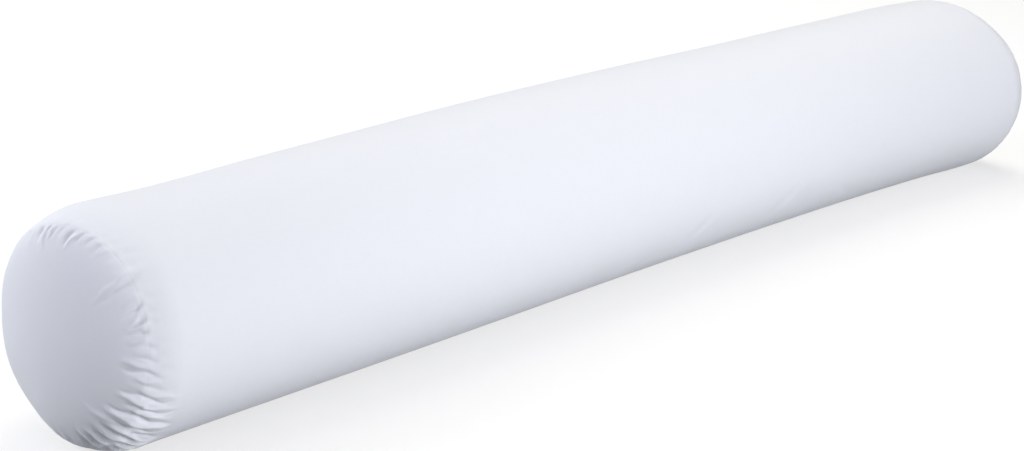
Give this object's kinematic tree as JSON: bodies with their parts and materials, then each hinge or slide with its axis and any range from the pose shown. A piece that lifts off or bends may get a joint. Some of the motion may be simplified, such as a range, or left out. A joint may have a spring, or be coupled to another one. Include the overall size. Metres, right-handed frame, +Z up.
{
  "type": "body pillow",
  "caption": "Long round bolster body pillow in white cotton, stuffed firm, with a domed end panel gathered to the tube at each end.",
  "frame": {"origin": "on the surface the pillow lies on, under the middle of its outline", "axes": "+X along the pillow towards its right end, +Z up, +Y to the side that the pillow bows towards"},
  "size_m": [1.4044, 0.2524, 0.2198],
  "materials": {
    "tube_cotton": "matt plain-weave cotton",
    "end_panel_cotton": "matt plain-weave cotton"
  },
  "bodies": {
    "root": {"filled_tube": "tube_cotton", "end_panel_left": "end_panel_cotton", "end_panel_right": "end_panel_cotton"}
  },
  "joints": []
}
